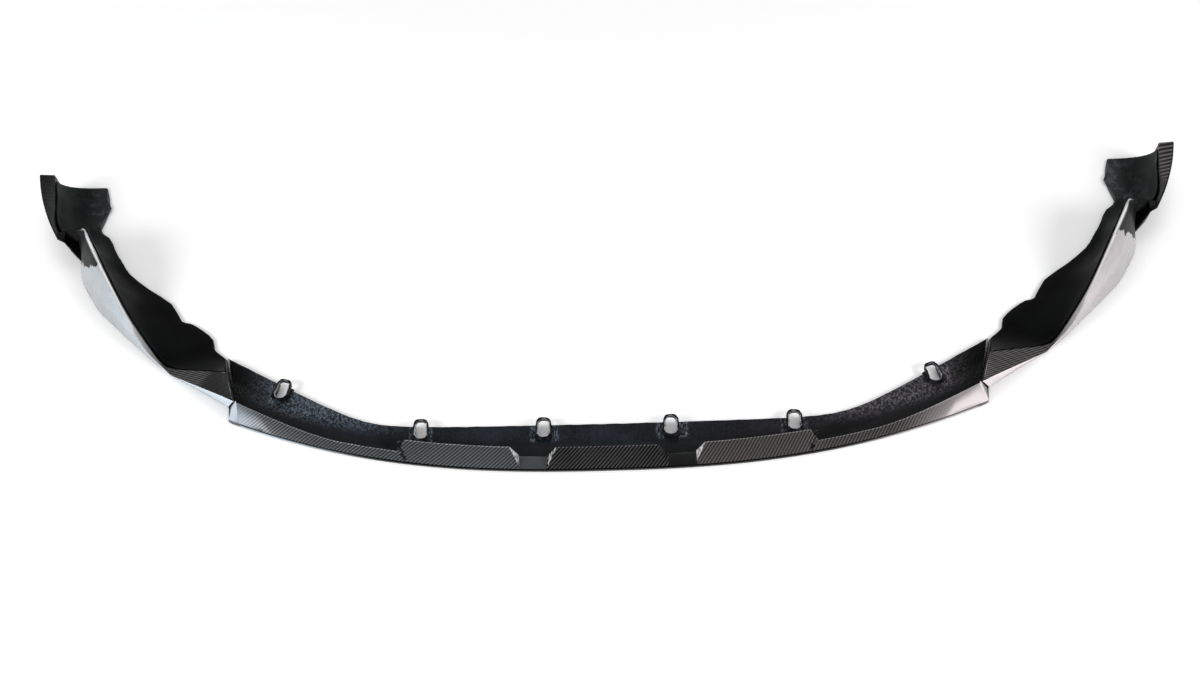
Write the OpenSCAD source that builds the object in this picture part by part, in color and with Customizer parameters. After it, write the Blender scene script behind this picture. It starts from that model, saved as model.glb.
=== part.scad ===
// Front splitter lip in three mouldings: a centre and two sides, laid end to end.
// Millimetres, +Z up. The nose points to -Y and the ends sweep back to +Y.
// The origin is on the floor, at the middle of the width and of the depth.
// Set-backs are measured from the foremost point of the nose.

/* [Plan] */
// Depth from the nose to the rear edge of the ends
overall_depth = 610; // [580:1:660]
// Half of the overall width, at the top of the end walls
half_width = 920; // [905:1:940]
// Half width of the centre moulding along its front edge
centre_half_front = 566; // [540:1:575]
// How much further out the seam is at its rear than at its front
seam_lean = 21; // [14:1:34]
// Set-back of the rear of the seam
seam_rear_setback = 228; // [220:1:236]
// Set-back that the front edge's curve would reach 1000 mm from the middle
nose_curve = 436; // [400:1:470]
// How late the front edge turns back, as a power
nose_power = 2.5; // [2:0.1:3]
// Set-back of the rear edge in the middle
rear_setback = 81; // [78:1:90]
// Distance from the seam in to where the rear edge turns back
rear_bend_run = 227; // [205:1:245]
// Length over which that turn is rounded
rear_bend_round = 48; // [20:1:80]

/* [Laminate] */
// Thickness of the outer and lower skins
skin = 2.6; // [2:0.1:3.4]
// Thickness of the inner skins of the sides
inner_skin = 2; // [1.6:0.1:2.6]
// Glue line between two bonded pieces
glue = 0.2; // [0.15:0.05:0.3]
// Running gap between two mouldings at a seam
seam_gap = 0.8; // [0.6:0.1:1.2]
// Rise of the centre moulding's rear edge off the floor
rear_lift = 5; // [3:0.5:7]
// Width of the sloping land along that rear edge
rear_land = 36; // [34:1:38]

/* [Blade] */
// Height of the seam at its front
seam_height = 32; // [28:1:36]
// Height of the blade beside the outer blocks
blade_height = 12; // [9:1:16]
// Length over which the blade rises to the seam
blade_rise_run = 166; // [140:1:190]
// Rim of the lower skin left bare in front of the blade
front_rim = 2; // [1:0.5:4]
// Width of the blade's top edge
blade_crest = 2.5; // [1.5:0.5:4]

/* [Blocks] */
// Height of the three wedge blocks
block_height = 25; // [20:1:28]
// Depth of their sloping faces
block_depth = 24.5; // [20:0.5:26]
// Length over which a block's end slopes down
block_end = 15; // [10:1:20]
// Half length of the middle block
middle_block_half = 90; // [80:1:95]
// Distance from the middle to the inner end of an outer block
outer_block_start = 129; // [124:1:140]
// Distance from the middle to the outer end of an outer block
outer_block_finish = 312; // [300:1:320]
// Depth of the flat strip between the blocks
strip_depth = 22; // [18:1:26]

/* [Mounting ears] */
// Width of an ear
ear_width = 24; // [23:0.5:30]
// Length of an ear
ear_length = 36; // [34:1:44]
// Width of its slot
slot_width = 15; // [10:0.5:17]
// Length of its slot
slot_length = 28.5; // [24:0.5:32]
// Radius of the slot's corners
slot_corner = 5; // [3:0.5:7]
// Thickness of an ear
ear_thickness = 5; // [4:0.5:7]
// Distance from the rear edge in to the middle of an ear
ear_inset = 7; // [5:1:10]
// Distances of the ears from the middle: inner pair
ear_inner_x = 95; // [85:1:105]
// Middle pair
ear_middle_x = 279; // [265:1:290]
// Distance from the seam in to the outer pair
ear_outer_inset = 92; // [80:1:110]
// How far the outer pair leans towards the middle, in degrees
ear_outer_lean = 18; // [8:1:28]

/* [Side blades] */
// Height of the side blade's ridge at its highest
ridge_height = 101; // [85:1:115]
// Undercut of the facet under the front wedge, at the seam
wedge_undercut = 13; // [6:1:16]
// Height of the top edge of the end wall, at the rear
end_height = 85; // [70:1:95]
// Height of the dull inner skin's edge on the end wall, at the rear
strip_foot = 60; // [50:1:66]

/* [Hidden] */

gloss_black = [0.16, 0.16, 0.17];
resin_black = [0.10, 0.11, 0.13];
satin_black = [0.05, 0.05, 0.06];
ear_black = [0.08, 0.08, 0.09];

// General helpers

function lerp(a, b, t) = a + (b - a) * t;
function clamp01(t) = min(1, max(0, t));
function unit(v) = v / max(norm(v), 1e-9);
function flip_list(list) = [for (i = [len(list) - 1:-1:0]) list[i]];
function mirror_x(list) = [for (p = list) [-p[0], p[1], p[2]]];

// A smooth curve through every point of a list, at u from 0 to its last index
function curve_at(points, u) =
    let (last = len(points) - 1, i = min(floor(u), last - 1), t = u - i,
        p0 = points[max(i - 1, 0)], p1 = points[i],
        p2 = points[i + 1], p3 = points[min(i + 2, last)])
    0.5 * (2 * p1 + (p2 - p0) * t + (2 * p0 - 5 * p1 + 4 * p2 - p3) * t * t
        + (3 * p1 - p0 - 3 * p2 + p3) * t * t * t);

// The two triangles of one cell, cut along its first or second diagonal
function cell(a, b, c, d, second) = second ? [[a, b, d], [b, c, d]] : [[a, b, c], [a, c, d]];

// A closed solid through a row of sections with equal numbers of points.
// splits[i] chooses the diagonal of the cells between sections i and i + 1.
module loft(sections, splits = []) {
    count = len(sections);
    ring = len(sections[0]);
    points = [for (s = sections) each s];
    sides = [for (i = [0:count - 2]) for (j = [0:ring - 1])
        let (a = i * ring + j, b = i * ring + (j + 1) % ring,
            second = len(splits) > i && splits[i])
        each cell(a, a + ring, b + ring, b, second)];
    first = [for (j = [0:ring - 1]) j];
    final = [for (j = [ring - 1:-1:0]) (count - 1) * ring + j];
    polyhedron(points, concat(sides, [first], [final]), convexity = 10);
}

// The normal of a grid of points at one of them
function grid_normal(grid, i, j) =
    let (rows = len(grid) - 1, cols = len(grid[0]) - 1,
        along = grid[min(i + 1, rows)][j] - grid[max(i - 1, 0)][j],
        across = grid[i][min(j + 1, cols)] - grid[i][max(j - 1, 0)])
    unit(cross(along, across));

// The two triangles of one cell of a sheet, seen from its outer or its back side
function facing(a, b, c, d, outer) = outer ? [[a, b, c], [a, c, d]] : [[a, c, b], [a, d, c]];

// A sheet of laminate: a grid of points on its outer face, thickened to one side.
// fuller[j] widens the offset of column j, where the sheet folds, and finer[i] thins row i.
module sheet(grid, thickness, fuller = [], finer = []) {
    rows = len(grid);
    cols = len(grid[0]);
    count = rows * cols;
    back = [for (i = [0:rows - 1]) for (j = [0:cols - 1])
        grid[i][j] + grid_normal(grid, i, j) * thickness
            * (len(fuller) > j ? fuller[j] : 1) * (len(finer) > i ? finer[i] : 1)];
    skins = [for (i = [0:rows - 2]) for (j = [0:cols - 2]) let (a = i * cols + j)
        each concat(facing(a, a + cols, a + cols + 1, a + 1, true),
            facing(a + count, a + count + cols, a + count + cols + 1, a + count + 1, false))];
    edges = [for (i = [0:rows - 2]) let (a = i * cols, z = a + cols - 1)
        each concat(facing(a + count, a + count + cols, a + cols, a, true),
            facing(z, z + cols, z + cols + count, z + count, true))];
    ends = [for (j = [0:cols - 2]) let (z = (rows - 1) * cols + j)
        each concat(facing(j, j + 1, j + 1 + count, j + count, true),
            facing(z, z + 1, z + 1 + count, z + count, false))];
    polyhedron(concat([for (row = grid) each row], back), concat(skins, edges, ends),
        convexity = 10);
}

// Plan of the centre moulding

seam_rear_x = centre_half_front + seam_lean;
rear_bend_x = seam_rear_x - rear_bend_run;
blade_rise_x = centre_half_front - blade_rise_run;
ear_outer_x = seam_rear_x - ear_outer_inset;

function front_setback(x) = nose_curve * pow(abs(x) / 1000, nose_power);
nose_sweep = front_setback(centre_half_front);

// The rear edge runs straight, then turns back at one slope round a blended bend
function bend(x) = ((abs(x) - rear_bend_x) + sqrt(pow(abs(x) - rear_bend_x, 2)
    + pow(rear_bend_round, 2))) / 2;
rear_slope = (seam_rear_setback - rear_setback) / (bend(seam_rear_x) - bend(0));
function rear_edge_setback(x) = rear_setback + rear_slope * (bend(x) - bend(0));

function setback(y) = y - overall_depth / 2;

// The seam is a slightly warped wall: a floor line from the front corner to the rear,
// and a top edge from the blade's crest over the side's top line to the rear
end_corner = [centre_half_front + 7, nose_sweep + 4, 0];
seam_rear = [seam_rear_x, seam_rear_setback, 0];
seam_front_top = [centre_half_front - 5, nose_sweep + 19, seam_height];
wedge_foot_share = (wedge_undercut + 15) / (seam_rear_setback - nose_sweep - 4);
seam_front_low = lerp(end_corner, seam_rear, wedge_foot_share);
seam_top_line = [seam_rear_x - 11, seam_rear_setback - 49, seam_height + 1];
seam_middle_low = lerp(end_corner, seam_rear, 0.6);

// A cross-section of an end wall, u from 0 at the rear to 2 at the blade's crest.
// near and far are the two faces' distances outboard of the seam, drop lowers the top
// and lift raises the foot over a rear land.
function end_wall_section(u, near, far, drop, lift) =
    let (top = curve_at([seam_rear + [0, -3, rear_lift + skin + 1], seam_top_line,
            seam_front_top], u),
        low = curve_at([lerp(end_corner, seam_rear, 0.97), seam_middle_low, seam_front_low], u),
        bottom = skin / 3
            + lift * clamp01((low[1] - seam_rear_setback) / rear_land + 1))
    [[low[0] + near, setback(low[1]), bottom],
     [low[0] + far, setback(low[1]), bottom],
     [top[0] + far, setback(top[1]), top[2] - drop],
     [top[0] + near, setback(top[1]), top[2] - drop]];

// Blade and blocks of the centre moulding

upper_floor = skin + glue;
strip_height = upper_floor + 2.2;

// Where the blade's front face turns back to the seam, inboard of the front corner
blade_end_turn = 9;

// How far the blade has risen between the outer blocks and the seam
function blade_rise(x) = pow(clamp01((abs(x) - blade_rise_x)
    / (centre_half_front - blade_end_turn - blade_rise_x)), 1.6);
function blade_crest_height(x) = lerp(blade_height, seam_height, blade_rise(x));
function blade_crest_depth(x) = blade_crest_height(x) * lerp(0.95, 0.55, blade_rise(x));

// Height and depth of the front slope at a station; kind 0 is strip, 1 block, 2 blade
function slope_height(x, kind) = kind == 0 ? strip_height
    : kind == 1 ? block_height : blade_crest_height(x);
function slope_depth(x, kind) = kind == 0 ? strip_depth
    : kind == 1 ? block_depth : blade_crest_depth(x);

function steps(from, to, kind, pitch) =
    let (n = max(1, ceil((to - from) / pitch)))
    [for (k = [0:n]) [lerp(from, to, k / n), kind]];

upper_stations = concat(
    steps(0, middle_block_half - block_end, 1, 40),
    steps(middle_block_half, outer_block_start, 0, 40),
    steps(outer_block_start + block_end, outer_block_finish - block_end * 0.8, 1, 30),
    steps(outer_block_finish, centre_half_front - blade_end_turn, 2, 20));

function blade_section(x, kind) =
    let (front = front_setback(x), height = slope_height(x, kind),
        depth = slope_depth(x, kind), foot = kind == 1 ? 0.4 : 1)
    [[x, setback(front + front_rim), upper_floor],
     [x, setback(front + front_rim), upper_floor + 1.2],
     [x, setback(front + depth), height],
     [x, setback(front + depth + blade_crest), height - 0.3],
     [x, setback(front + depth + blade_crest + foot), upper_floor]];

// The blade's closing facet turns back from its front face to the seam
upper_end = [
    [end_corner[0] - seam_gap, setback(end_corner[1] + front_rim), upper_floor],
    [end_corner[0] - seam_gap, setback(end_corner[1] + front_rim), upper_floor + 1.2],
    [seam_front_top[0] - 3 * seam_gap, setback(seam_front_top[1] - 1), seam_height],
    [seam_front_top[0] - 3 * seam_gap, setback(seam_front_top[1] + 1.5), seam_height - 0.3],
    [seam_front_low[0] - 4 * seam_gap, setback(seam_front_low[1] - 3), upper_floor]];

module centre_upper_skin() {
    half = concat([for (s = upper_stations) blade_section(s[0], s[1])], [upper_end]);
    other = [for (i = [len(half) - 1:-1:1]) mirror_x(half[i])];
    sections = concat(other, half);
    splits = [for (i = [0:len(sections) - 2]) sections[i + 1][2][2] > sections[i][2][2]];
    color(gloss_black) loft([for (s = sections) flip_list(s)], splits);
}

// Lower skin of the centre moulding: a tray with a raised land along its rear edge

tray_pitch = 24;
tray_count = ceil(centre_half_front / tray_pitch);

// One cross-section of the tray between a front and a rear point, as a closed ring
function tray_section(front, rear) =
    let (run = rear - front, length = norm(run), land = 1 - rear_land / length,
        cuts = [0, land * 0.5, land, (land + 1) / 2, 1],
        under = [for (c = cuts) let (p = front + run * c)
            [p[0], setback(p[1]), rear_lift * max(0, (c - land) / (1 - land))]],
        top = [for (p = under) p + [0, 0, skin]])
    concat(under, flip_list(top));

function tray_half() = concat(
    [for (k = [0:tray_count]) let (s = k / tray_count, xf = s * centre_half_front,
        xr = s * (seam_rear_x - 5))
        tray_section([xf, front_setback(xf)], [xr, rear_edge_setback(xr)])],
    [tray_section([end_corner[0] - seam_gap, end_corner[1]],
        [seam_rear_x - seam_gap, seam_rear_setback])]);

// Lip of the tray left bare outboard of its end wall
end_lip = 0.5;

// The upright end wall of the centre moulding stops behind the blade
module centre_end_wall() {
    sections = [for (k = [0:6]) end_wall_section(k / 4, -seam_gap - end_lip - skin,
        -seam_gap - end_lip, 0, rear_lift)];
    loft(sections, [for (s = sections) true]);
}

module centre_lower_skin() {
    half = tray_half();
    other = [for (i = [len(half) - 1:-1:1]) mirror_x(half[i])];
    color(resin_black) difference() {
        union() {
            loft(concat(other, half));
            centre_end_wall();
            mirror([1, 0, 0]) centre_end_wall();
        }
        for (k = [0:5]) place_ear(k) slot_cut(ear_thickness * 6);
    }
}

// Mounting ears: rounded rings bonded over the rear edge, each with a slot

ear_xs = [-ear_outer_x, -ear_middle_x, -ear_inner_x, ear_inner_x, ear_middle_x, ear_outer_x];

function edge_angle(x) = atan((rear_edge_setback(x + 1) - rear_edge_setback(x - 1)) / 2);
function land_tilt(x) = atan(rear_lift / (rear_land * cos(edge_angle(x))));

// An ear's own frame lies on the land, with its slot running from front to rear
module place_ear(k) {
    x = ear_xs[k];
    angle = edge_angle(x);
    lean = (k == 0 ? -1 : k == 5 ? 1 : 0) * ear_outer_lean;
    inset = ear_inset / cos(angle);
    height = skin + rear_lift * (1 - inset / rear_land * cos(angle));
    translate([x, setback(rear_edge_setback(x) - inset), height + glue])
        rotate([0, 0, angle]) rotate([land_tilt(x), 0, 0])
            rotate([0, 0, lean - angle]) children();
}

module rounded(width, length, corner) {
    square([width - 2 * corner, length], center = true);
    square([width, length - 2 * corner], center = true);
    for (side = [-1, 1], end = [-1, 1])
        translate([side * (width / 2 - corner), end * (length / 2 - corner)])
            circle(r = corner, $fn = 48);
}

module slot_cut(depth) {
    translate([0, 0, -depth / 2])
        linear_extrude(depth) rounded(slot_width, slot_length, slot_corner);
}

module ear(k) {
    color(ear_black) place_ear(k) difference() {
        linear_extrude(ear_thickness)
            rounded(ear_width, ear_length, slot_corner + (ear_width - slot_width) / 2);
        slot_cut(ear_thickness * 4);
    }
}

module mounting_ear_1() ear(0);
module mounting_ear_2() ear(1);
module mounting_ear_3() ear(2);
module mounting_ear_4() ear(3);
module mounting_ear_5() ear(4);
module mounting_ear_6() ear(5);

// Lines of the right side moulding, as [distance out, set-back, height].
// They share one numbering of stations, from the seam back to the rear edge.

bond = skin + glue + inner_skin;

// The stations are drawn for these sizes, and stretched to the sizes set above
drawn_seam = [587, 228];
drawn_span = [333, 382];
drawn_ridge = 101;
span = [half_width - seam_rear_x, overall_depth - seam_rear_setback];

function stretch(p) = [seam_rear_x + (p[0] - drawn_seam[0]) * span[0] / drawn_span[0],
    seam_rear_setback + (p[1] - drawn_seam[1]) * span[1] / drawn_span[1],
    (len(p) > 2 ? p[2] : 0) * ridge_height / drawn_ridge];
function stretched(list) = [for (p = list) stretch(p)];

corner_station = 2;
ridge_end = 11;
rear_station = 20;

// Inner edge of the side moulding, round its notches
inner_edge = stretched([drawn_seam, [601, 240], [611, 252], [615, 270], [632, 288],
    [654, 304], [669, 309], [690, 346], [731, 379], [765, 411],
    [780, 434], [789, 449], [798, 466], [806, 483], [813, 495], [825, 503],
    [830, 515], [829, 537], [819, 561], [829, 580], [834, 609]]);

// Top line of the front wedge, then the ridge of the side blade
ridge = concat([seam_top_line], stretched([[632, 195, 20], [680, 213, 8], [704, 237, 17],
    [724, 262, 29], [744, 288, 46], [762, 316, 65], [779, 344, 84], [795, 372, 97],
    [811, 403, 101], [817.5, 416, 101], [823, 427, 100]]));

// Foot of the front wedge and of the side blade, on the floor
foot = concat([seam_front_low], stretched([[622, 169], [671, 202], [708, 234], [730, 257],
    [754, 281], [776, 305], [801, 331], [818, 356], [838, 391], [849, 420], [850, 447]]));

// Front edge of the wedge, up to the corner
wedge_edge = concat([seam_front_top], stretched([[616, 161, 19], [672, 199, 5]]));

// A point of the end wall, at its height above the floor
function upright(p, height) = let (s = stretch(p)) [s[0], s[1], height];

// Upper edge of the inner skin behind the ridge: over the air opening, along the end wall
panel_edge = [upright([839, 438], ridge_height - 14), upright([856, 438], ridge_height - 17),
    upright([872, 449], strip_foot + 13), upright([881, 477], strip_foot + 9),
    upright([887, 507], strip_foot + 6), upright([891, 530], strip_foot + 4),
    upright([895, 548], strip_foot + 3), upright([898, 560], strip_foot + 3),
    upright([899.5, 569], strip_foot + 3)];

// How far the end wall's sheet laps under the side blade's, so that they are one piece
lap = 3;

// End wall, from the air opening to the rear: top edge, foot of the gloss strip, floor line
wall_top = [upright([870, 427], end_height - 10), upright([886, 457], end_height - 5),
    upright([898, 485], end_height - 4), upright([908, 513], end_height - 3),
    upright([915, 538], end_height - 2), upright([920, 562], end_height)];

// The strip's foot lies a bonded thickness outboard of the inner skin's edge, and the
// strip runs a little further back than that skin
strip_overrun = [0.4, 10, 4];
wall_middle = concat([upright([862, 429], strip_foot + 5)],
    [for (u = [2.5, 3.45, 4.4, 5.8]) curve_at(panel_edge, u) + [bond + 0.4, 0, 0]],
    [panel_edge[8] + [bond, 0, 0] + strip_overrun]);
wall_foot = concat([foot[ridge_end] - [0, lap, 0]],
    stretched([[872, 469], [885, 493], [894, 521], [900, 555], [905, 602]]));
wall_inner = [inner_edge[11] - [-lap, lap, 0], inner_edge[13], stretch([818, 499]),
    inner_edge[16], stretch([822, 560]), inner_edge[20]];

function place(p, z = undef) = [p[0], setback(p[1]), is_undef(z) ? p[2] : z];

// Upper corner of the air opening on the side blade
opening_corner = upright([838, 433], ridge_height - 13);

// The soft crease of the side blade, a little below its ridge
function crease(u) =
    let (top = curve_at(ridge, u), low = curve_at(foot, u),
        out = unit([low[0] - top[0], low[1] - top[1], 0]))
    lerp(top, low, crease_share) + out * crease_bulge;
crease_share = 0.2;
crease_bulge = 4;

// Second row of the outer skin: wedge edge, crease, then the corner of the air opening
function outer_second(u) = u <= corner_station ? curve_at(wedge_edge, u)
    : u < corner_station + 1 ? lerp(wedge_edge[2], crease(corner_station + 1), u - corner_station)
    : lerp(crease(u), opening_corner, pow(clamp01(u - ridge_end + 1), 2));

// The first row keeps its tilted thickness clear of the seam
function outer_row(u) =
    let (top = curve_at(ridge, u), second = outer_second(u),
        low = curve_at(foot, u), inner = curve_at(inner_edge, u),
        clear = [0.5 * skin * clamp01(1 - 2 * u), 0, 0])
    [place(top) + clear, place(second) + clear, place(lerp(second, low, 0.5)) + clear,
     place(low) + clear, place(lerp([low[0], low[1]], inner, 0.5), 0) + clear,
     place(inner, 0) + clear];

function wall_row(u) =
    let (top = curve_at(wall_top, u), middle = curve_at(wall_middle, u),
        low = curve_at(wall_foot, u), inner = curve_at(wall_inner, u))
    [place(top), place(middle), place(lerp(middle, low, 0.5)), place(low),
     place(lerp([low[0], low[1]], inner, 0.5), 0), place(inner, 0)];

// The side moulding's own end wall at the seam, facing the centre moulding
module side_end_wall() {
    loft([for (k = [0:8]) end_wall_section(min(1.96, k / 4), 0, skin, 0.6, 0)]);
}

// The small plate that closes the outer corner of the air opening
module opening_gusset() {
    back = [0, 1.6, -0.8];
    corners = [for (p = [panel_edge[1] + [1, -2.8, -1], panel_edge[2] + [2, -5, 0],
        wall_top[0] + [0, 1, 0], wall_middle[0] + [0, 1, 0]]) place(p)];
    loft([corners, [for (p = corners) p + back]]);
}

// The sheet thins where the wedge runs out to a low corner
corner_thinning = [1, 1, 0.9, 0.75, 0.5, 0.7, 0.9];

module right_outer_skin() {
    fold = [1, 1, 1, 1.5, 1, 1];
    color(gloss_black) union() {
        sheet([for (u = [0:0.5:ridge_end]) outer_row(u)], skin, fold, corner_thinning);
        sheet([for (u = [0:0.5:5]) wall_row(u)], skin, fold);
        side_end_wall();
        opening_gusset();
    }
}

// Inner skin: a shelf that cups up to the ridge and to the end wall

upper_edge = [for (k = [0:rear_station])
    k <= ridge_end ? ridge[k] : panel_edge[k - ridge_end - 1]];
// How far the edge keeps inboard of the outer skin, as a share of the bonded thickness
edge_inset = [0.6, 0.7, 1, 1, 1, 1, 1.08, 1.08, 1.05, 1, 1, 1.1, 1.2, 0.3, 1, 0.3,
    0.2, 0.3, 0.3, 0.3, 0.3];
// How square the cup is at each station, from 1 for straight to 3
cup_power = [1.1, 1.3, 1.6, 2, 2.3, 2.4, 2.4, 2.4, 2.4, 2.4, 2.3, 2, 1.7, 1.5, 1.6, 2,
    2.3, 2.5, 2.7, 2.9, 3];
cup_steps = 9;

function inner_row(u) =
    let (edge = curve_at(inner_edge, u), top = curve_at(upper_edge, u),
        k = min(floor(u), rear_station - 1), t = u - k,
        inset = lerp(edge_inset[k], edge_inset[k + 1], t) * bond,
        power = 2 / lerp(cup_power[k], cup_power[k + 1], t), lean = clamp01((u - 15) / 5),
        inboard = unit([edge[0] - top[0], edge[1] - top[1]]),
        shelf = bond + 0.2, rise = top[2] - 0.8 - shelf,
        from = edge - inboard * 0.8, to = [top[0], top[1]] + inboard * inset)
    [for (j = [0:cup_steps])
        let (angle = 90 * j / cup_steps, a = pow(sin(angle), power), b = 1 - pow(cos(angle), power))
        place([lerp(from[0], to[0], a), lerp(from[1], to[1], lerp(a, b, lean)), shelf + rise * b])];

module right_inner_skin() {
    clear = [skin + 2 * glue, 0, 0];
    color(satin_black)
        sheet(concat([[for (p = inner_row(0.06)) p + clear]],
            [[for (p = inner_row(0.3)) p + clear * 0.6]],
            [for (k = [1:2 * rear_station]) inner_row(k / 2)]), inner_skin);
}

module left_outer_skin() mirror([1, 0, 0]) right_outer_skin();
module left_inner_skin() mirror([1, 0, 0]) right_inner_skin();

centre_lower_skin();
centre_upper_skin();
mounting_ear_1();
mounting_ear_2();
mounting_ear_3();
mounting_ear_4();
mounting_ear_5();
mounting_ear_6();
left_outer_skin();
left_inner_skin();
right_outer_skin();
right_inner_skin();
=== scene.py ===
"""Front splitter lip: carbon-fibre finishes, a pale floor, soft light and the camera.

Metres, +Z up, the nose towards -Y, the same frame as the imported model.
"""
import math

import bmesh
import bpy
from mathutils import Matrix, Vector, noise


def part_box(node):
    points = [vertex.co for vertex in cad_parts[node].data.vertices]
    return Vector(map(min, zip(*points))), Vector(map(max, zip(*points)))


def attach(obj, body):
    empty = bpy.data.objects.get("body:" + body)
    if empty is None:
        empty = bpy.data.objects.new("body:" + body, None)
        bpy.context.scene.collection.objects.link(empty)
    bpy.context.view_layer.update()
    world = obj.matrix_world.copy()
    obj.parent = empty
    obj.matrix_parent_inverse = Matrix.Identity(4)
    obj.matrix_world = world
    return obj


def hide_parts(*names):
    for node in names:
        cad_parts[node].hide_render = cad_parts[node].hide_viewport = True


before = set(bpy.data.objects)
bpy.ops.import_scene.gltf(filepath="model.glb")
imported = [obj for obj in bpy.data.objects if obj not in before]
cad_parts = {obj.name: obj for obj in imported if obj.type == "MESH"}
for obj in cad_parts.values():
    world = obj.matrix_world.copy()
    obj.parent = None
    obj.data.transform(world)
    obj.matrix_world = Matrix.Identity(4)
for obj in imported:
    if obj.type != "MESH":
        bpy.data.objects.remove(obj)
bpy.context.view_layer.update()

MM = 0.001
NOISE_SEED = 3


# Sizes of the lip that the finishes and the added pieces follow, in millimetres

NOSE_Y = -305
CENTRE_HALF_WIDTH = 566
# How far the nose falls back at the seams, and the power of x that it follows.
NOSE_SETBACK = 105
NOSE_POWER = 2.5

# The two bare strips between the blocks, and the ends of the blocks beside them.
STRIP_X = 111
STRIP_HALF_WIDTH = 21
STRIP_TOP = 8.0
MIDDLE_BLOCK_END = 86
OUTER_BLOCK_START = 134
OUTER_BLOCK_END = 309
BLOCK_END_REACH = 14

# The side blades: spacing of the faint lines and of the rungs, and where the burnt part starts.
LINE_SPACING = 2.7
RUNG_SPACING = 8.5
BURNT_FROM = 101

# The tray's half width and rear edge, how finely it is cut, and where its end walls stand.
TRAY_HALF_WIDTH = 590
TRAY_REAR_Y = -76
TRAY_PITCH = 6
END_WALL_X = 540

# The seam's place at y = 0 and how far it moves out for each millimetre to the rear.
SEAM_X = 618.5
SEAM_LEAN = 0.32

# Each ear's slot: half the length of its straight part, and how far its rim reaches.
EAR_STRAIGHT = 6.0
SLOT_RIM = 9.6
# How far the outer ears are turned towards the middle, in degrees.
EAR_TURN = {1: -18, 6: 18}

# Camera

CAMERA_ELEVATION = math.radians(50)
CAMERA_TURN = math.radians(2)
CAMERA_ROLL = math.radians(3.1)
CAMERA_DISTANCE = 3.052
CAMERA_TARGET = Vector((-9.9 * MM, -48 * MM, 0))
FOCAL_PIXELS = 1963
IMAGE_WIDTH = 1200
SENSOR_WIDTH = 36


def make_camera():
    """The camera that was fitted to the photograph."""
    e, a, r = CAMERA_ELEVATION, CAMERA_TURN, CAMERA_ROLL
    back = Vector((math.sin(a) * math.cos(e), -math.cos(a) * math.cos(e), math.sin(e)))
    right = (-back).cross(Vector((0, 0, 1))).normalized()
    up = right.cross(-back)
    across = right * math.cos(r) - up * math.sin(r)
    upward = right * math.sin(r) + up * math.cos(r)
    data = bpy.data.cameras.new("camera")
    data.sensor_fit = "HORIZONTAL"
    data.sensor_width = SENSOR_WIDTH
    data.lens = SENSOR_WIDTH * FOCAL_PIXELS / IMAGE_WIDTH
    data.clip_end = 60
    camera = bpy.data.objects.new("camera", data)
    place = CAMERA_TARGET + back * CAMERA_DISTANCE
    camera.matrix_world = Matrix((
        (across.x, upward.x, back.x, place.x),
        (across.y, upward.y, back.y, place.y),
        (across.z, upward.z, back.z, place.z),
        (0, 0, 0, 1)))
    bpy.context.collection.objects.link(camera)
    bpy.context.scene.camera = camera


# Shader maths

class Value:
    """A shader socket that arithmetic works on."""

    def __init__(self, tree, socket):
        self.tree = tree
        self.socket = socket

    def node(self, kind, settings=None, values=None, output=0):
        """Adds any node: its settings first, then the values or links of its sockets."""
        made = self.tree.nodes.new(kind)
        for name, value in (settings or {}).items():
            setattr(made, name, value)
        for name, value in (values or {}).items():
            if isinstance(value, Value):
                self.tree.links.new(value.socket, made.inputs[name])
            else:
                made.inputs[name].default_value = value
        return Value(self.tree, made.outputs[output])

    def maths(self, operation, *values):
        return self.node("ShaderNodeMath", {"operation": operation}, dict(enumerate(values)))

    def __add__(self, other):
        return self.maths("ADD", self, other)

    __radd__ = __add__

    def __sub__(self, other):
        return self.maths("SUBTRACT", self, other)

    def __rsub__(self, other):
        return self.maths("SUBTRACT", other, self)

    def __mul__(self, other):
        return self.maths("MULTIPLY", self, other)

    __rmul__ = __mul__

    def __truediv__(self, other):
        return self.maths("DIVIDE", self, other)

    def __neg__(self):
        return self.maths("MULTIPLY", self, -1.0)

    def floor(self):
        return self.maths("FLOOR", self)

    def fraction(self):
        return self.maths("FRACT", self)

    def modulo(self, other):
        return self.maths("FLOORED_MODULO", self, other)

    def below(self, other):
        return self.maths("LESS_THAN", self, other)

    def above(self, other):
        return self.maths("GREATER_THAN", self, other)

    def least(self, other):
        return self.maths("MINIMUM", self, other)

    def most(self, other):
        return self.maths("MAXIMUM", self, other)

    def size(self):
        return self.maths("ABSOLUTE", self)

    def power(self, other):
        return self.maths("POWER", self, other)

    def sine(self):
        return self.maths("SINE", self)

    def ramp(self, low, high, start=0.0, end=1.0):
        """A smooth step from start at low to end at high, held outside."""
        return self.node("ShaderNodeMapRange", {"interpolation_type": "SMOOTHSTEP"},
                         {"Value": self, "From Min": low, "From Max": high,
                          "To Min": start, "To Max": end})


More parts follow.
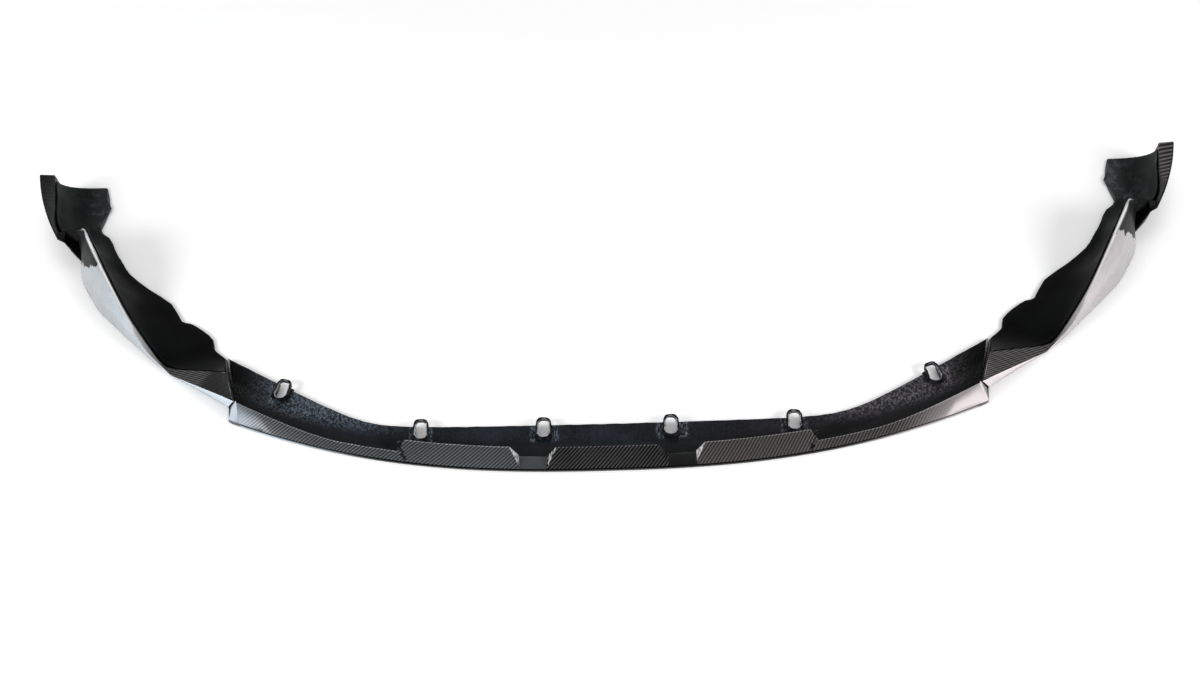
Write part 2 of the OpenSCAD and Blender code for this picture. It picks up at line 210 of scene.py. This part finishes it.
class Finish:
    """A material on one Principled shader, with the shared pattern helpers."""

    def __init__(self, name, **fixed):
        self.material = bpy.data.materials.new(name)
        self.material.use_nodes = True
        self.tree = self.material.node_tree
        self.tree.nodes.clear()
        self.shader = self.tree.nodes.new("ShaderNodeBsdfPrincipled")
        output = self.tree.nodes.new("ShaderNodeOutputMaterial")
        self.tree.links.new(self.shader.outputs[0], output.inputs["Surface"])
        self.start = Value(self.tree, None)
        for socket, value in fixed.items():
            self.shader.inputs[socket.replace("_", " ")].default_value = value
        self.place = self.start.node("ShaderNodeTexCoord", output="Object")

    def feed(self, **linked):
        for socket, value in linked.items():
            self.tree.links.new(value.socket, self.shader.inputs[socket.replace("_", " ")])

    def split(self, vector):
        parts = self.tree.nodes.new("ShaderNodeSeparateXYZ")
        self.tree.links.new(vector.socket, parts.inputs[0])
        return [Value(self.tree, out) for out in parts.outputs]

    def axes(self):
        """The three coordinates of a place, in millimetres."""
        return [part * 1000.0 for part in self.split(self.place)]

    def facing(self):
        """How far a face looks right, back and up, each from -1 to 1."""
        return self.split(self.start.node("ShaderNodeTexCoord", output="Normal"))

    def moved(self, **settings):
        """The object coordinates, turned and stretched."""
        return self.start.node("ShaderNodeMapping", None, {"Vector": self.place, **settings})

    def mottle(self, scale, detail=3.0, roughness=0.55, place=None):
        """Noise with so many patches a metre, about 0.5 on average."""
        return self.start.node("ShaderNodeTexNoise", None,
                               {"Vector": place or self.place, "Scale": scale,
                                "Detail": detail, "Roughness": roughness})

    def cells(self, scale, place):
        """Rounded pits with so many a metre."""
        return self.start.node("ShaderNodeTexVoronoi", {"feature": "SMOOTH_F1"},
                               {"Vector": place, "Scale": scale})

    def mix(self, share, first, second):
        """A colour between two colours."""
        return self.start.node("ShaderNodeMix", {"data_type": "RGBA"},
                               {"Factor": share, "A": first, "B": second}, output=2)

    def bump(self, height, distance, strength):
        """The normal of a relief, the distance in metres."""
        return self.start.node("ShaderNodeBump", None, {"Height": height, "Distance": distance,
                                                        "Strength": strength})


def grey(level, tint=(1, 1, 1)):
    """A colour of one brightness, tinted."""
    return (level * tint[0], level * tint[1], level * tint[2], 1)


# Finishes

# Width of one tow of the carbon twill, in millimetres.
TOW = 1.4

# Where resin was smeared: the ear's place, the side of it, and how wide, in millimetres.
EAR_SMEARS = ((-495, -147, -1, 6), (-279, -231, -1, 2), (-279, -231, 1, 2), (-95, -234, -1, 4),
              (-95, -234, 1, 5), (95, -234, -1, 5), (95, -234, 1, 8), (279, -231, -1, 4),
              (279, -231, 1, 3), (495, -147, 1, 8))

COOL = (0.93, 1.0, 1.06)
WARM = (1.06, 0.98, 0.97)
BLUE = (0.86, 1.0, 1.14)
ROSE = (1.06, 0.96, 0.98)


def twill(along, across, tow=TOW):
    """The 2 by 2 twill: how brightly each tow shows, and how high the tows stand."""
    u = along / tow
    v = across / tow
    row = (u.floor() - v.floor()).modulo(4.0)
    over_u = 1 - (u.fraction() * 2 - 1).power(2.0)
    over_v = 1 - (v.fraction() * 2 - 1).power(2.0)
    warp = row.below(1.5)
    height = warp * over_u + (1 - warp) * over_v
    shine = row.below(0.5) + warp * row.above(0.5) * 0.45
    return shine * over_u.ramp(0.0, 0.6, 0.55, 1.0), height


def nose_distance(x, y):
    """How far a place lies behind the front edge, in millimetres."""
    setback = (x.size() / CENTRE_HALF_WIDTH).power(NOSE_POWER) * NOSE_SETBACK
    return y - NOSE_Y - setback


def gloss_laminate():
    """Clear-coated twill on the blade and its blocks, laid along their curve, with painted
    reflections and glints at the ends and painted shade on some faces.
    """
    finish = Finish("gloss_laminate", Metallic=0.9, Coat_Roughness=0.03, Coat_IOR=1.6)
    x, y, z = finish.axes()
    right, back, up = finish.facing()
    near = x.most(-260).least(260)
    bend = near * (x - near * 0.5) * 0.0006
    rise = (y + z + 270) * (0.62 - near * 0.0007)
    shine, height = twill(x * 0.97 + bend, rise)
    middle_block = (x.size() - 108).ramp(-4, 4, 1.0, 0.0)
    left = x.ramp(-60, 60, 1.0, 0.0)
    drift = finish.mottle(11.0, 2.0).ramp(0.35, 0.65, 0.85, 1.12)
    outer = finish.mix(left, grey(0.46, WARM), grey(0.62, COOL))
    light = finish.mix(middle_block, outer, grey(0.34))
    outer_dark = finish.mix(left, grey(0.09, WARM), grey(0.10, COOL))
    dark = finish.mix(middle_block, outer_dark, grey(0.004))
    woven = finish.mix(shine * drift, dark, light)
    # Painted reflection: the blade is painted pale towards its two ends.
    ends = (-x).ramp(508, 572) + x.ramp(430, 535)
    pale = finish.mix(left, grey(0.78, ROSE), grey(0.56, BLUE))
    outboard = finish.mix(ends * 0.92, woven, pale)

    on_strip = z.below(STRIP_TOP)
    left_strip = (x + STRIP_X).size().below(STRIP_HALF_WIDTH) * on_strip
    right_strip = (x - STRIP_X).size().below(STRIP_HALF_WIDTH) * on_strip
    strips = left_strip + right_strip
    bare_and_glints = finish.mix(left_strip, outboard, grey(0.062, COOL))
    bare_and_glints = finish.mix(right_strip, bare_and_glints, grey(0.002))

    streaks = finish.mottle(240.0, 3.0, 0.6, finish.moved(Scale=(2.0, 0.5, 0.5)))
    off_strip = z.above(STRIP_TOP - 0.5)
    toward_left = (-right).ramp(0.35, 0.5)
    toward_right = right.ramp(0.35, 0.5)
    cut_left = (x + OUTER_BLOCK_START).size().below(BLOCK_END_REACH) * toward_right
    cut_middle = (x + MIDDLE_BLOCK_END).size().below(BLOCK_END_REACH) * toward_left
    cut_right = (x - OUTER_BLOCK_START).size().below(BLOCK_END_REACH) * toward_left
    # Painted highlight: streaky pale glints on the block ends beside the bare strips, except the
    # right end of the middle block.
    end_glint = (cut_left * 0.75 + cut_middle * 0.8 + cut_right) * off_strip
    end_glint = (end_glint * streaks.ramp(0.36, 0.58)).least(1.0)
    bare_and_glints = finish.mix(end_glint, bare_and_glints, grey(0.8))
    # Painted reflection: the sideways faces at the blade's two ends are painted pale.
    end_face = right.size().ramp(0.35, 0.5) * x.size().ramp(548, 556)
    bare_and_glints = finish.mix(end_face, bare_and_glints, pale)
    cut_dark = (x - MIDDLE_BLOCK_END).size().below(BLOCK_END_REACH) * toward_right * off_strip
    rear = back.ramp(0.45, 0.6)
    front_rim = (-back).ramp(0.35, 0.5) * (1 - up.size().ramp(0.25, 0.4)) * z.below(7.0)
    shadow = (rear + cut_dark * 0.7 + front_rim * (1 - ends * 0.8)).least(1.0)
    coat = (1 - middle_block * 0.85) * (1 - shadow) * (1 - strips * 0.8)
    finish.feed(Base_Color=finish.mix(shadow, bare_and_glints, grey(0.006)),
                Metallic=(end_glint + strips + end_face).ramp(0, 1, 0.9, 0.0),
                Coat_Weight=coat,
                Roughness=height.ramp(0, 1, 0.42, 0.3),
                Normal=finish.bump(height, 0.00008, 0.4))
    return finish.material


def side_laminate():
    """The same twill on the outside of the side mouldings, which catches the floor; some faces
    carry painted reflections, highlights, shade and light.
    """
    finish = Finish("side_laminate", Specular_IOR_Level=0.08, Coat_Roughness=0.05, Coat_IOR=1.8)
    x, y, z = finish.axes()
    right, back, up = finish.facing()
    out = x.size()
    left = x.ramp(-10, 10, 1.0, 0.0)
    wedge = 1 - out.ramp(684, 696)
    on_top = up.ramp(0.55, 0.62)

    run = y * 0.9 - out * 0.43
    shine_w, height_w = twill(run * 2.5, run * 0.625 + out * 0.1, 1.5)
    beside_seam = 1 - (out + (y + 110) * 0.75 - 597).ramp(-6, 10)
    wedge_light = finish.mix(left, grey(0.50, WARM), grey(0.40))
    wedge_top = finish.mix(shine_w, grey(0.075), wedge_light)
    wedge_top = finish.mix(beside_seam * left * 0.8, wedge_top, grey(0.012))
    # Painted reflection: the steep faces of the wedge are painted near white.
    wedge_foot_reflection = finish.mix(left, grey(0.95, ROSE), grey(0.9, BLUE))
    wedge_colour = finish.mix(on_top, wedge_foot_reflection, wedge_top)

    crest = ((y + 68) * 0.62 + 17).least(101).most(10)
    share = z / crest
    slope = y * 0.766 + z * 0.643
    lines = ((slope + x * 0.05) * (math.tau / LINE_SPACING)).sine()
    grain = finish.mottle(60.0, 3.0).ramp(0.35, 0.65)
    # Painted shade: the band above the crease is painted a little darker, with a faint dark line
    # along the crease.
    crease_shade = share.ramp(0.60, 0.68) * -0.03 - (share - 0.60).size().ramp(0.0, 0.05, 0.02, 0.0)
    tone = lines * left * 0.045 + grain * 0.04 + crease_shade + (1 - y.ramp(-60, 70)) * 0.22 + 0.35
    lit_crest = up.ramp(0.5, 0.6) * (1 - wedge) * (1 - y.ramp(118, 124))
    blade_left = finish.mix(tone, grey(0), grey(1, (0.88, 0.99, 1.09)))
    blade_right = finish.mix(tone, grey(0), grey(1, (1.04, 0.95, 0.97)))
    blade_colour = finish.mix(left, blade_right, blade_left)
    # Painted highlight: the up-facing crest of the blade is painted pale grey.
    blade_colour = finish.mix(lit_crest, blade_colour, grey(0.9))
    bright = finish.mix(wedge, blade_colour, wedge_colour)

    teeth = finish.mottle(95.0, 2.0, 0.5, finish.moved(Scale=(1.0, 0.25, 0.25)))
    ragged = teeth.ramp(0.3, 0.7, -7.0, 7.0)
    burnt = (slope + ragged).ramp(BURNT_FROM, BURNT_FROM + 1) * (1 - lit_crest)
    rungs = ((y * 0.9 + z * 0.3 + out * 0.5) * (math.tau / RUNG_SPACING)).sine().ramp(-0.1, 0.6)
    ladder_glint = (y - 120).ramp(0, 10) * out.ramp(888, 896) * (1 - left * 0.95)
    cloud = finish.mottle(38.0, 4.0, 0.65)
    soot_and_painted_light = finish.mix(cloud.ramp(0.35, 0.7), grey(0.006), grey(0.018, (0.95, 1, 1.06)))
    outward = right * (x / out)
    inner_face = outward.ramp(-0.4, -0.2, 1.0, 0.0)
    # Painted highlight: pale rungs of weave on the inward faces of the top strip, mostly on the
    # right wall.
    soot_and_painted_light = finish.mix(ladder_glint * rungs * inner_face, soot_and_painted_light, grey(0.15, ROSE))
    under = 1 - up.ramp(-0.85, -0.6)
    # Painted light: the low inside of the vent is lifted from black to grey.
    vent_fill_light = z.below(8.0) * y.ramp(118, 124)
    soot_and_painted_light = finish.mix(vent_fill_light, soot_and_painted_light, grey(0.12))
    seam_rim = (out - y * SEAM_LEAN - SEAM_X).below(1.5) * wedge
    soot_and_painted_light = finish.mix(seam_rim, soot_and_painted_light, grey(0.03, (1.1, 1, 0.95)))
    toward_middle = outward.ramp(-0.55, -0.4, 1.0, 0.0) * (out - 680).ramp(-6, 6, 1.0, 0.0)
    rear = back.ramp(0.2, 0.4) * (1 - lit_crest)
    black = (burnt + seam_rim + under + toward_middle + rear).least(1.0)
    finish.feed(Base_Color=finish.mix(black, bright, soot_and_painted_light),
                Metallic=black.ramp(0, 1, 0.92, 0.0),
                Coat_Weight=black.ramp(0, 1, 1.0, 0.04),
                Roughness=finish.mottle(25.0).ramp(0.3, 0.7, 0.26, 0.34) + black * 0.15,
                Normal=finish.bump(height_w * wedge, 0.00006, 0.4))
    return finish.material


def rough_laminate():
    """The resin side of the laminate on the tray: blue-black, stippled and smeared, with a
    painted shadow behind the blade, painted glints and a painted reflection on the front rim.
    """
    finish = Finish("rough_laminate", Specular_IOR_Level=0.32, Coat_IOR=1.5, Coat_Roughness=0.1)
    x, y, z = finish.axes()
    up = finish.facing()[2]
    across = x.size()
    behind = nose_distance(x, y)
    warm = x.ramp(0, 260)
    under = 1 - up.ramp(-0.6, -0.2)
    # Painted shadow: the tray is painted darker towards the blade, where the blade's shadow
    # falls.
    trough_shade = behind.ramp(22, 62, 1.0, 0.0)
    far = across.ramp(285, 400) * across.ramp(535, 572, 1.0, 0.1)
    rough = behind.ramp(34, 60) * (far * 0.9 + 0.1)

    pits = finish.cells(300.0, finish.moved(Scale=(1.0, 0.8, 1)))
    grain = finish.mottle(420.0, 3.0, 0.6)
    printed = (x * 2.42).sine()  # lines 2.6 mm apart
    relief = (pits * 1.6 + grain * 0.7) * rough + grain * 0.14 + printed * 0.08

    patches = finish.mottle(14.0, 3.0, 0.6)
    cool = finish.mix(patches.ramp(0.42, 0.7), grey(0.012, (0.8, 1, 1.25)),
                      grey(0.030, (0.75, 0.95, 1.35)))
    rosy = finish.mix(patches.ramp(0.4, 0.7), grey(0.012, (1.0, 0.97, 1.1)),
                      grey(0.024, (1.08, 0.95, 1.15)))
    base = finish.mix(warm, cool, rosy)
    dim = ((1 - far) * 0.35 + across.ramp(470, 560) * 0.8).least(0.95)
    base = finish.mix(dim, base, grey(0.004))
    # Painted highlight: pale glints on the raised stipple, blue on the left and rosy on the
    # right.
    speck_glint = (pits.ramp(0.26, 0.55) * grain.ramp(0.35, 0.6) * rough * (1 - dim)).least(1.0)
    glint_colour = finish.mix(warm, grey(0.20, (0.75, 0.95, 1.2)),
                              grey(0.15, (1.05, 0.96, 1.08)))
    base = finish.mix(speck_glint * 0.9, base, glint_colour)
    base = finish.mix(printed.ramp(0.2, 1.0) * 0.2 * (1 - trough_shade), base, grey(0.06, BLUE))

    frost = None
    for middle, rear, side, reach in EAR_SMEARS:
        level = (x - middle) * side
        beside = level.ramp(9, 13) * level.ramp(13 + reach, 17 + reach * 1.5, 1.0, 0.0)
        near = (y - rear).size().ramp(12, 20, 1.0, 0.0)
        here = beside * near
        frost = here if frost is None else frost.most(here)
    scratch = finish.mottle(230.0, 4.0, 0.7, finish.moved(Scale=(1.7, 0.6, 1)))
    smear = frost * scratch.ramp(0.46, 0.62)
    smear_colour = finish.mix(warm, grey(0.26, (0.7, 0.92, 1.15)), grey(0.22, (1.05, 0.92, 1.1)))
    base = finish.mix(smear, base, smear_colour)
    # Painted shadow of the blade on the tray.
    base = finish.mix(trough_shade * 0.85, base, grey(0.004))

    rim = behind.below(4.5) * z.below(9)
    # Painted reflection: the tray's front rim is a pale mirror towards the ends and dark in the
    # middle.
    rim_reflection = finish.mix(warm, grey(0.66, BLUE), grey(0.6, ROSE))
    rim_reflection = finish.mix(across.ramp(330, 500), grey(0.03), rim_reflection)
    shine = twill(x, y * 0.8)[0]
    bottom = finish.mix(shine, grey(0.02), grey(0.11))
    top = finish.mix(rim, base, rim_reflection)
    end_wall = (across - 552).ramp(0, 6) * (1 - up.size().ramp(0.3, 0.6))
    top = finish.mix(end_wall, top, grey(0.012, (1.1, 1, 0.95)))
    finish.feed(Base_Color=finish.mix(under, top, bottom),
                Metallic=under * 0.5 + rim * (1 - under) * 0.9,
                Coat_Weight=(under + rim).least(1.0),
                Roughness=(rough * 0.14 + smear * 0.25 + trough_shade * 0.25 + 0.22).least(0.6),
                Normal=finish.bump(relief * (1 - under) * (1 - rim), 0.0014, 0.9))
    return finish.material


def satin_laminate():
    """The inside of the side mouldings: a black shelf and a dusty end panel."""
    finish = Finish("satin_laminate", Specular_IOR_Level=0.07)
    x, y = finish.axes()[:2]
    out = x.size()
    left = x.ramp(-10, 10, 1.0, 0.0)
    panel = y.ramp(100, 190)
    cloud = finish.mottle(16.0, 4.0, 0.6)
    shelf = finish.mix(cloud.ramp(0.35, 0.7), grey(0.0012), grey(0.004, (0.9, 1, 1.06)))
    plate = finish.mix(cloud.ramp(0.35, 0.65), grey(0.008, (0.86, 1.04, 1.02)),
                       grey(0.017, (0.86, 1.04, 1.02)))
    base = finish.mix(panel, shelf, plate)
    tab = (out - 856).ramp(-14, 10, 1.0, 0.0) * y.ramp(195, 225)
    dust = finish.mottle(46.0, 4.0, 0.65).ramp(0.46, 0.66) * panel
    dusty = (dust + tab * 0.3).least(1.0) * (tab * 0.8 + 0.2)
    dust_colour = finish.mix(left, grey(0.10, (0.96, 0.98, 1.06)), grey(0.07, (0.96, 0.98, 1.06)))
    base = finish.mix(dusty, base, dust_colour)
    finish.feed(Base_Color=base,
                Roughness=cloud.ramp(0.3, 0.7, 0.4, 0.55) + dust * 0.2,
                Normal=finish.bump(finish.mottle(90.0, 3.0), 0.0006, 0.4))
    return finish.material


def ear_laminate():
    """Thick black resin, wet-looking, with a faint blue cast."""
    finish = Finish("ear_laminate", Specular_IOR_Level=0.35)
    cloud = finish.mottle(120.0, 3.0)
    finish.feed(Base_Color=finish.mix(cloud.ramp(0.45, 0.7), grey(0.003),
                                      grey(0.03, (0.9, 0.95, 1.2))),
                Roughness=cloud.ramp(0.3, 0.7, 0.22, 0.5),
                Normal=finish.bump(finish.mottle(260.0, 3.0), 0.0010, 0.7))
    return finish.material


def cut_edge():
    """The milled rim of a slot: pale, dusty laminate, with painted light that makes it brightest
    in front and at the sides.
    """
    finish = Finish("cut_edge", Roughness=0.6)
    back = finish.facing()[1]
    cloud = finish.mottle(210.0, 3.0)
    # Dust patches, and painted light: faces that look back or sideways are painted paler.
    worn_and_lit = cloud.ramp(0.32, 0.52) * back.ramp(-0.3, 0.2, 0.2, 1.0)
    finish.feed(Base_Color=finish.mix(worn_and_lit, grey(0.03), grey(0.92, (0.94, 0.98, 1.02))))
    return finish.material


# Pieces

def node_copy(node):
    """A merged copy of a CAD node's mesh with its flat faces joined, to be refined."""
    shape = bmesh.new()
    shape.from_mesh(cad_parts[node].data)
    bmesh.ops.remove_doubles(shape, verts=shape.verts[:], dist=0.01 * MM)
    bmesh.ops.dissolve_limit(shape, angle_limit=math.radians(0.4), verts=shape.verts[:],
                             edges=shape.edges[:])
    return shape


def round_edges(shape, width, segments, angle, chosen=None):
    """Rounds the edges sharper than an angle whose middle the chooser takes."""
    lines = [line for line in shape.edges
             if len(line.link_faces) == 2 and line.calc_face_angle(0) > math.radians(angle)
             and (chosen is None or chosen((line.verts[0].co + line.verts[1].co) / 2))]
    bmesh.ops.bevel(shape, geom=lines, offset=width * MM, offset_type="OFFSET",
                    segments=segments, profile=0.5, affect="EDGES", clamp_overlap=True,
                    material=-1)


def cut_grid(shape, axis, low, high, pitch):
    """Cuts a shape by parallel planes, so that its faces are small enough to move."""
    normal = Vector((0, 0, 0))
    normal[axis] = 1
    steps = round((high - low) / pitch)
    for step in range(1, steps):
        bmesh.ops.bisect_plane(shape, geom=shape.verts[:] + shape.edges[:] + shape.faces[:],
                               dist=0.02 * MM, plane_co=normal * (low + step * pitch) * MM,
                               plane_no=normal)


def make_piece(name, shape, materials, replaced=(), edge=32):
    """Turns a bmesh into a piece that rides on the lip and stands for its CAD nodes."""
    for face in shape.faces:
        face.smooth = True
    for line in shape.edges:
        if len(line.link_faces) == 2 and line.calc_face_angle(0) > math.radians(edge):
            line.smooth = False
    mesh = bpy.data.meshes.new(name)
    shape.to_mesh(mesh)
    shape.free()
    for material in materials:
        mesh.materials.append(material)
    piece = bpy.data.objects.new(name, mesh)
    bpy.context.collection.objects.link(piece)
    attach(piece, "root")
    if replaced:
        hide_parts(*replaced)
    return piece


def wobble(shape, pitch, size, chosen, seed):
    """Moves the chosen points by smooth noise, pitch and size in millimetres."""
    offset = Vector((seed, seed * 0.7, -seed))
    for point in shape.verts:
        if chosen(point):
            point.co += noise.noise_vector(point.co / (pitch * MM) + offset) * size * MM


def nose_edge(x):
    """The front edge's place at a distance from the middle, in millimetres."""
    return NOSE_Y + NOSE_SETBACK * (abs(x) / CENTRE_HALF_WIDTH) ** NOSE_POWER


def make_tray():
    """The tray, slightly uneven on top and along its rear edge, with satin end walls."""
    shape = node_copy("centre_lower_skin")
    cut_grid(shape, 0, -TRAY_HALF_WIDTH, TRAY_HALF_WIDTH, TRAY_PITCH)
    cut_grid(shape, 1, NOSE_Y, TRAY_REAR_Y, TRAY_PITCH)
    shape.normal_update()
    for point in shape.verts:
        x, y, z = point.co / MM
        tops = [face.normal.z for face in point.link_faces]
        if min(tops) > 0.5 and y > nose_edge(x) + 30:
            point.co.z += noise.noise(Vector((x, y, 0)) / 13) * 0.35 * MM
        elif max(face.normal.y for face in point.link_faces) > 0.6 and z < 9 and abs(x) < 570:
            point.co.y += noise.noise(Vector((x / 17, 0, 0))) * 0.7 * MM
    shape.normal_update()
    for face in shape.faces:
        if abs(face.calc_center_median().x) > END_WALL_X * MM and abs(face.normal.x) > 0.6:
            face.material_index = 1
    make_piece("tray", shape, [ROUGH, SATIN], ["centre_lower_skin"])


def make_blade():
    """The gloss blade and its three blocks, their edges rounded above the floor."""
    shape = node_copy("centre_upper_skin")
    round_edges(shape, 1.1, 2, 24, lambda place: place.z > 7 * MM)
    make_piece("blade_and_blocks", shape, [GLOSS], ["centre_upper_skin"])


def ear_frame(number):
    """An ear's box, its middle and its turn about the vertical."""
    low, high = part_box(f"mounting_ear_{number}")
    turn = Matrix.Rotation(math.radians(EAR_TURN.get(number, 0)), 3, "Z")
    return low, high, (low + high) / 2, turn


def from_slot(place):
    """How far a place lies from the slot's middle line, in millimetres."""
    return math.hypot(place.x / MM, max(abs(place.y / MM) - EAR_STRAIGHT, 0))


def make_ear(number):
    """One uneven ear, wider in front, with a pale milled edge round its slot."""
    low, high, middle, turn = ear_frame(number)
    back = turn.inverted()
    shape = node_copy(f"mounting_ear_{number}")

    def outside(place):
        return from_slot(back @ (place - middle)) > SLOT_RIM and place.z > middle.z

    def at_slot(place):
        return from_slot(back @ (place - middle)) < SLOT_RIM and place.z > middle.z

    round_edges(shape, 1.8, 3, 40, outside)
    round_edges(shape, 2.0, 2, 40, at_slot)
    shape.normal_update()
    for face in shape.faces:
        place = back @ (face.calc_center_median() - middle)
        if 0.25 < face.normal.z < 0.97 and from_slot(place) < SLOT_RIM:
            face.material_index = 1
    cut_grid(shape, 1, low.y / MM, high.y / MM, 3)
    for point in shape.verts:
        place = back @ (point.co - middle)
        if abs(place.x) > 9.4 * MM:
            place.x *= 1 - 0.09 * max(min(place.y / (20 * MM), 1), -0.7)
        point.co = middle + turn @ place
    wobble(shape, 9, 0.7, lambda point: point.co.z > middle.z - 1.5 * MM, number * 3.1)
    make_piece(f"ear_{number}", shape, [EAR, CUT], [f"mounting_ear_{number}"])


def make_skirt(number):
    """The bead of resin squeezed out round the front of an ear, where it meets the tray."""
    middle, turn = ear_frame(number)[2:]
    shape = bmesh.new()
    made = bmesh.ops.create_circle(shape, cap_ends=False, segments=56, radius=11.0 * MM)
    for point in made["verts"]:
        point.co.y += math.copysign(EAR_STRAIGHT * MM, point.co.y)
    rim = shape.edges[:]
    for spread, drop in ((0.5, -0.3), (1.2, -0.9), (1.8, -1.3), (1.6, -0.9)):
        grown = bmesh.ops.extrude_edge_only(shape, edges=rim)["geom"]
        rim = [item for item in grown if isinstance(item, bmesh.types.BMEdge)]
        for point in {corner for line in rim for corner in line.verts}:
            straight = math.copysign(min(abs(point.co.y), EAR_STRAIGHT * MM), point.co.y)
            away = Vector((point.co.x, point.co.y - straight, 0)).normalized()
            spot = Vector((point.co.x, point.co.y, number * MM)) / (6 * MM)
            ragged = 1 + 0.5 * noise.noise(spot)
            point.co += away * spread * ragged * MM
            point.co.z += drop * MM
    for point in shape.verts:
        place = turn @ point.co
        point.co = middle + place + Vector((0, 0, -place.y * 0.11 + 0.3 * MM))
    gone = [point for point in shape.verts if (point.co - middle).y > 3.5 * MM]
    bmesh.ops.delete(shape, geom=gone, context="VERTS")
    bmesh.ops.recalc_face_normals(shape, faces=shape.faces[:])
    if sum(face.normal.z for face in shape.faces) < 0:
        bmesh.ops.reverse_faces(shape, faces=shape.faces[:])
    make_piece(f"ear_{number}_bead", shape, [EAR], edge=80)


def make_side(side):
    """The outer and the inner skin of one side moulding."""
    shape = node_copy(f"{side}_outer_skin")
    round_edges(shape, 0.6, 2, 35)
    make_piece(f"{side}_outside", shape, [SIDE], [f"{side}_outer_skin"])
    shape = node_copy(f"{side}_inner_skin")
    round_edges(shape, 0.6, 2, 50)
    make_piece(f"{side}_inside", shape, [SATIN], [f"{side}_inner_skin"],
               edge=45)


def make_end_bead(side):
    """Black resin left ragged where an outer block meets the blade."""
    sign = -1 if side == "left" else 1
    shape = bmesh.new()
    for step in range(9):
        share = step / 8
        x = sign * (OUTER_BLOCK_END - 8 * (1 - share))
        front = nose_edge(x)
        place = Vector((x + 1.5 * math.sin(step * 2.4), front + 5 + 20 * share,
                        6.5 + 15 * share - (3 if step == 8 else 0)))
        made = bmesh.ops.create_icosphere(shape, subdivisions=2, radius=1)
        size = Vector((3.0 + 1.1 * math.sin(step * 1.7), 2.6, 2.2 + 0.8 * math.cos(step * 2.1)))
        for point in made["verts"]:
            rough = 1 + 0.45 * noise.noise(point.co * 1.6 + Vector((step * 2.0, sign, 0)))
            point.co = (place + Vector((point.co.x * size.x, point.co.y * size.y,
                                        point.co.z * size.z)) * rough) * MM
    make_piece(f"{side}_block_bead", shape, [EAR], edge=80)


# Stage

def make_stage():
    """A pale floor that glows to the camera and in reflections, less close to the lip."""
    shape = bmesh.new()
    bmesh.ops.create_grid(shape, x_segments=1, y_segments=1, size=12)
    mesh = bpy.data.meshes.new("floor")
    shape.to_mesh(mesh)
    shape.free()
    floor = bpy.data.objects.new("floor", mesh)
    floor.location.z = -0.4 * MM
    bpy.context.collection.objects.link(floor)

    material = bpy.data.materials.new("pale_floor")
    material.use_nodes = True
    tree = material.node_tree
    tree.nodes.clear()
    start = Value(tree, None)
    rays = [start.node("ShaderNodeLightPath", output=name)
            for name in ("Is Camera Ray", "Is Glossy Ray", "Is Transmission Ray")]
    seen = rays[0].most(rays[1]).most(rays[2])
    open_sky = start.node("ShaderNodeAmbientOcclusion", {"samples": 8},
                          {"Distance": 0.04}, output=1)
    plain = start.node("ShaderNodeBsdfDiffuse", None, {"Color": grey(0.86)})
    glow = start.node("ShaderNodeEmission", None,
                      {"Color": grey(1.0), "Strength": seen * open_sky.power(1.5) * 0.4})
    lit = start.node("ShaderNodeAddShader", None, {0: plain, 1: glow})
    output = tree.nodes.new("ShaderNodeOutputMaterial")
    tree.links.new(lit.socket, output.inputs["Surface"])
    mesh.materials.append(material)


def soft_lamp(name, place, target, size, power, tint=(1, 1, 1), mirrored=True):
    """A rectangular lamp that looks at a target and may be kept out of reflections."""
    data = bpy.data.lights.new(name, "AREA")
    data.shape = "RECTANGLE"
    data.size, data.size_y = size
    data.energy = power
    data.color = tint
    lamp = bpy.data.objects.new(name, data)
    lamp.location = place
    lamp.rotation_euler = (Vector(target) - Vector(place)).to_track_quat("-Z", "Y").to_euler()
    lamp.visible_glossy = mirrored
    bpy.context.collection.objects.link(lamp)


def make_light():
    """A sky that is bright near the horizon, and four soft lamps round the lip."""
    world = bpy.data.worlds.new("studio")
    world.use_nodes = True
    tree = world.node_tree
    tree.nodes.clear()
    start = Value(tree, None)
    way = tree.nodes.new("ShaderNodeSeparateXYZ")
    source = start.node("ShaderNodeTexCoord", output="Generated")
    tree.links.new(source.socket, way.inputs[0])
    height = Value(tree, way.outputs[2])
    level = height.ramp(0.03, 0.36, 1.0, 0.2) - height.ramp(0.36, 0.85, 0.0, 0.07)
    air = start.node("ShaderNodeBackground", None, {"Color": grey(1.0), "Strength": level})
    output = tree.nodes.new("ShaderNodeOutputWorld")
    tree.links.new(air.socket, output.inputs["Surface"])
    bpy.context.scene.world = world
    soft_lamp("ceiling_lamp", (0, 0.4, 3.6), (0, 0, 0), (5, 4), 24, mirrored=False)
    for side in (-1, 1):
        soft_lamp("front_lamp", (side * 2.0, -1.0, 1.2), (side * 0.5, 0, 0), (1.0, 0.8), 31,
                  mirrored=False)
    soft_lamp("rear_lamp", (-0.3, 3.3, 2.7), (0, 0, 0), (4.0, 0.5), 14, (0.93, 0.97, 1.0))


# Without a seed, noise_vector draws its offsets from the clock.
noise.seed_set(NOISE_SEED)

bpy.context.scene.view_settings.view_transform = "Standard"
make_camera()
make_light()
make_stage()

GLOSS = gloss_laminate()
SIDE = side_laminate()
ROUGH = rough_laminate()
SATIN = satin_laminate()
EAR = ear_laminate()
CUT = cut_edge()

make_tray()
make_blade()
for number in range(1, 7):
    make_ear(number)
    make_skirt(number)
for side in ("left", "right"):
    make_side(side)
    make_end_bead(side)
